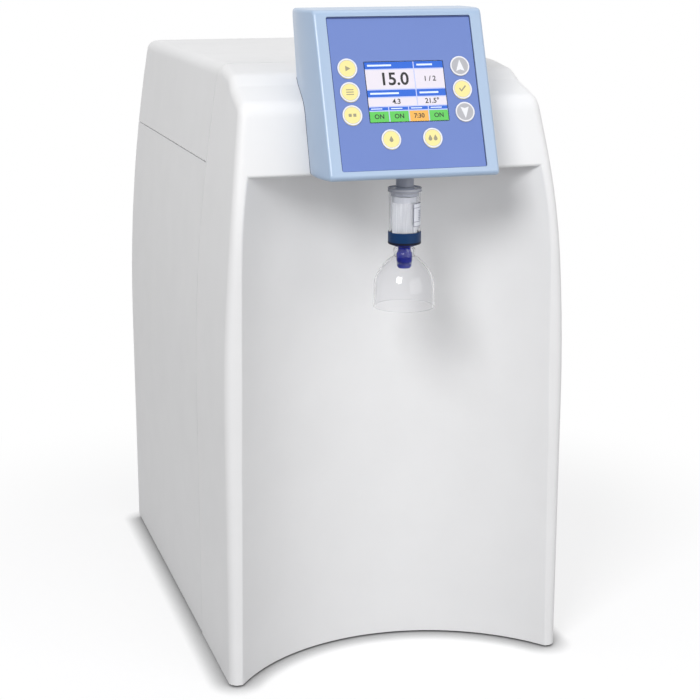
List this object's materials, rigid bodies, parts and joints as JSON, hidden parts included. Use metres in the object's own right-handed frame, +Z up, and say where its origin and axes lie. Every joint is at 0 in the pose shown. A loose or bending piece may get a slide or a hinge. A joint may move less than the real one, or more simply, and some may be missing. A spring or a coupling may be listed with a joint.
{
  "type": "ultrapure water system",
  "caption": "White bench water polisher with an arched front bay, a tilted blue console with round keys and a screen, and a final filter with a clear bell under it.",
  "frame": {"origin": "on the bench, under the middle of the whole part's bounding box", "axes": "+Z up, +Y to the back of the cabinet, +X to the right as seen from the front"},
  "size_m": [0.314, 0.5224, 0.5908],
  "materials": {
    "shell_white": "fine satin",
    "console_blue": "fine satin",
    "overlay_blue": "fine satin",
    "window_clear": "clear",
    "display_dark": "gloss",
    "key_yellow": "satin",
    "key_grey": "satin",
    "circuit_green": "lacquered",
    "outlet_blue": "satin",
    "capsule_clear": "clear",
    "fibre_white": "fibrous",
    "collar_blue": "satin",
    "nozzle_blue": "satin",
    "bell_clear": "clear",
    "chassis_grey": "powder coat",
    "bright_steel": "brushed",
    "foot_rubber": "matt",
    "black_plastic": "satin",
    "cartridge_white": "satin",
    "head_blue": "satin",
    "module_white": "satin",
    "motor_paint": "hammered",
    "brass": "turned",
    "supply_metal": "bead blasted",
    "tube_milky": "milky"
  },
  "bodies": {
    "cabinet": {"front_cover": "shell_white", "rear_hood": "shell_white", "console_housing": "console_blue", "overlay_panel": "overlay_blue", "screen_window": "window_clear", "display_module": "display_dark", "key_board": "circuit_green", "outlet_stub": "outlet_blue", "base_tray": "chassis_grey", "feet": "foot_rubber", "bulkhead": "chassis_grey", "centre_divider": "chassis_grey", "top_deck": "chassis_grey", "door_pins": "bright_steel", "magnet_catches": "black_plastic", "back_panel": "chassis_grey", "screws": "bright_steel", "cartridge_heads": "head_blue", "head_bracket": "chassis_grey", "lamp_chamber": "bright_steel", "lamp_caps": "black_plastic", "lamp_ballast": "motor_paint", "ultrafilter_housing": "module_white", "ultrafilter_ends": "head_blue", "measuring_cell": "bright_steel", "tube_saddles": "black_plastic", "pump_motor": "motor_paint", "pump_head": "brass", "pump_mounts": "foot_rubber", "pressure_regulator": "brass", "dispense_valve": "black_plastic", "water_unions": "black_plastic", "inlet_module": "black_plastic", "power_supply": "supply_metal", "main_board": "circuit_green", "board_standoffs": "brass", "water_tubes": "tube_milky"},
    "left_door": {"left_door": "shell_white", "left_strikes": "bright_steel"},
    "right_door": {"right_door": "shell_white", "right_strikes": "bright_steel"},
    "final_filter": {"filter_cap": "capsule_clear", "filter_capsule": "capsule_clear", "fibre_bundle": "fibre_white", "filter_collar": "collar_blue", "filter_nozzle": "nozzle_blue"},
    "bell": {"filling_bell": "bell_clear"},
    "rocker": {"power_rocker": "black_plastic"},
    "fuse_tray": {"fuse_drawer": "black_plastic"},
    "front_cartridge": {"cartridge_front": "cartridge_white"},
    "middle_cartridge": {"cartridge_middle": "cartridge_white"},
    "rear_cartridge": {"cartridge_rear": "cartridge_white"},
    "left_top_key": {"key_left_top": "key_yellow"},
    "left_middle_key": {"key_left_middle": "key_yellow"},
    "left_bottom_key": {"key_left_bottom": "key_yellow"},
    "up_key": {"key_up": "key_grey"},
    "enter_key": {"key_enter": "key_yellow"},
    "down_key": {"key_down": "key_grey"},
    "lower_left_key": {"key_lower_left": "key_yellow"},
    "lower_right_key": {"key_lower_right": "key_yellow"}
  },
  "joints": [
    {"name": "left_door_swing", "type": "hinge", "parent": "cabinet", "child": "left_door", "pos_m": [-0.127, 0.23816, 0.23], "axis": [0, 0, -1], "range_deg": [0, 100]},
    {"name": "right_door_swing", "type": "hinge", "parent": "cabinet", "child": "right_door", "pos_m": [0.127, 0.23816, 0.23], "axis": [0, 0, 1], "range_deg": [0, 100]},
    {"name": "rocker_tip", "type": "hinge", "parent": "cabinet", "child": "rocker", "pos_m": [0.084, 0.24566, 0.1005], "axis": [1, 0, 0], "range_deg": [0, 14]},
    {"name": "fuse_slide", "type": "slide", "parent": "cabinet", "child": "fuse_tray", "axis": [0, 1, 0], "range_m": [0, 0.015]},
    {"name": "filter_pull", "type": "slide", "parent": "cabinet", "child": "final_filter", "axis": [0, 0, -1], "range_m": [0, 0.03]},
    {"name": "bell_pull", "type": "slide", "parent": "final_filter", "child": "bell", "axis": [0, 0, -1], "range_m": [0, 0.03]},
    {"name": "front_cartridge_twist", "type": "hinge", "parent": "cabinet", "child": "front_cartridge", "pos_m": [-0.078, -0.04084, 0.2], "axis": [0, 0, 1], "range_deg": [0, 60]},
    {"name": "middle_cartridge_twist", "type": "hinge", "parent": "cabinet", "child": "middle_cartridge", "pos_m": [-0.078, 0.05116, 0.2], "axis": [0, 0, 1], "range_deg": [0, 60]},
    {"name": "rear_cartridge_twist", "type": "hinge", "parent": "cabinet", "child": "rear_cartridge", "pos_m": [-0.078, 0.14316, 0.2], "axis": [0, 0, 1], "range_deg": [0, 60]},
    {"name": "left_top_press", "type": "slide", "parent": "cabinet", "child": "left_top_key", "axis": [0, 0.9304, -0.3665], "range_m": [0, 0.0004], "stiffness_N_per_m": 1200},
    {"name": "left_middle_press", "type": "slide", "parent": "cabinet", "child": "left_middle_key", "axis": [0, 0.9304, -0.3665], "range_m": [0, 0.0004], "stiffness_N_per_m": 1200},
    {"name": "left_bottom_press", "type": "slide", "parent": "cabinet", "child": "left_bottom_key", "axis": [0, 0.9304, -0.3665], "range_m": [0, 0.0004], "stiffness_N_per_m": 1200},
    {"name": "up_press", "type": "slide", "parent": "cabinet", "child": "up_key", "axis": [0, 0.9304, -0.3665], "range_m": [0, 0.0004], "stiffness_N_per_m": 1200},
    {"name": "enter_press", "type": "slide", "parent": "cabinet", "child": "enter_key", "axis": [0, 0.9304, -0.3665], "range_m": [0, 0.0004], "stiffness_N_per_m": 1200},
    {"name": "down_press", "type": "slide", "parent": "cabinet", "child": "down_key", "axis": [0, 0.9304, -0.3665], "range_m": [0, 0.0004], "stiffness_N_per_m": 1200},
    {"name": "lower_left_press", "type": "slide", "parent": "cabinet", "child": "lower_left_key", "axis": [0, 0.9304, -0.3665], "range_m": [0, 0.0004], "stiffness_N_per_m": 1200},
    {"name": "lower_right_press", "type": "slide", "parent": "cabinet", "child": "lower_right_key", "axis": [0, 0.9304, -0.3665], "range_m": [0, 0.0004], "stiffness_N_per_m": 1200}
  ]
}
